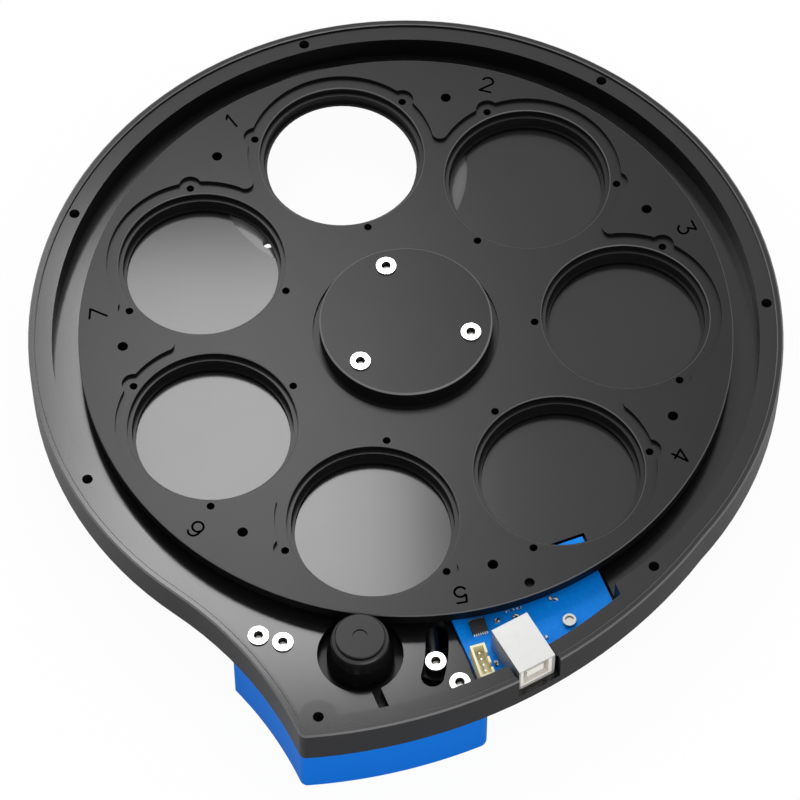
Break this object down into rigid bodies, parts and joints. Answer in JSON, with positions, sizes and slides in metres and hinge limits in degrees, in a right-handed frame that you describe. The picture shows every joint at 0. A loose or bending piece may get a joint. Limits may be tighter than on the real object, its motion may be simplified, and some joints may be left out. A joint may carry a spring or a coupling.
{
  "type": "optical filter wheel",
  "caption": "Motorised filter wheel, cover off: round casing, milled carousel with threaded filter pockets, sprung friction-roller drive and USB board.",
  "frame": {"origin": "on the light path, at the back face of the casing", "axes": "+Z along the light path to the open side; the carousel's spindle stands on the -Y side"},
  "size_m": [0.2288, 0.2426, 0.0355],
  "materials": {
    "black_anodised": "fine satin black anodising",
    "blue_anodised": "satin blue anodising",
    "bright_steel": "bright turned screw heads",
    "spring_steel": "ground steel",
    "motor_steel": "zinc-plated pressed can",
    "black_plastic": "moulded acetal",
    "tyre_rubber": "smooth polyurethane",
    "board_blue": "solder mask over glass laminate",
    "shell_metal": "tin-plated pressed shell",
    "white_plastic": "moulded socket insert",
    "cream_plastic": "moulded nylon header",
    "contact_metal": "tinned contacts",
    "chip_black": "moulded chip package",
    "magnet_grey": "nickel-plated magnet"
  },
  "bodies": {
    "casing_body": {"casing": "black_anodised", "motor_cover": "blue_anodised", "motor_cover_screws": "bright_steel", "spindle": "spring_steel", "spindle_screw": "spring_steel", "bearing_washer": "spring_steel", "bearing_screw": "spring_steel", "pivot_screw": "bright_steel", "pivot_nut": "spring_steel", "anchor_post": "spring_steel", "tension_spring": "spring_steel", "circuit_board": "board_blue", "board_nut": "bright_steel", "usb_socket": "shell_metal", "usb_tongue": "white_plastic", "motor_header": "cream_plastic", "header_pins": "contact_metal", "controller_chip": "chip_black", "chip_legs": "contact_metal", "surface_parts": "contact_metal", "hall_sensor": "chip_black"},
    "carousel_body": {"lower_bearing": "spring_steel", "upper_bearing": "spring_steel", "bearing_hub": "black_anodised", "carousel": "black_anodised", "carousel_screws": "spring_steel", "hub_cap": "black_anodised", "hub_cap_screws": "bright_steel", "index_magnet": "magnet_grey"},
    "motor_body": {"swing_plate": "black_anodised", "stepper_motor": "motor_steel", "motor_screws": "spring_steel", "guide_bush": "black_plastic", "guide_screw": "bright_steel", "spring_post": "spring_steel"},
    "roller_body": {"motor_shaft": "spring_steel", "roller_core": "black_anodised", "roller_tyre": "tyre_rubber", "grub_screw": "spring_steel"}
  },
  "joints": [
    {"name": "carousel_spin", "type": "hinge", "parent": "casing_body", "child": "carousel_body", "pos_m": [0, -0.067, 0], "axis": [0, 0, 1], "continuous": true},
    {"name": "motor_swing", "type": "hinge", "parent": "casing_body", "child": "motor_body", "pos_m": [-0.06518, -0.15505, 0], "axis": [0, 0, 1], "range_deg": [-6, 0], "stiffness_Nm_per_rad": 1, "springref_deg": 5.73, "deforming": ["tension_spring"]},
    {"name": "roller_spin", "type": "hinge", "parent": "motor_body", "child": "roller_body", "pos_m": [-0.04462, -0.16535, 0], "axis": [0, 0, 1], "continuous": true}
  ],
  "couplings": [
    {"joint": "roller_spin", "follows": "carousel_spin", "ratio": -11.48}
  ]
}
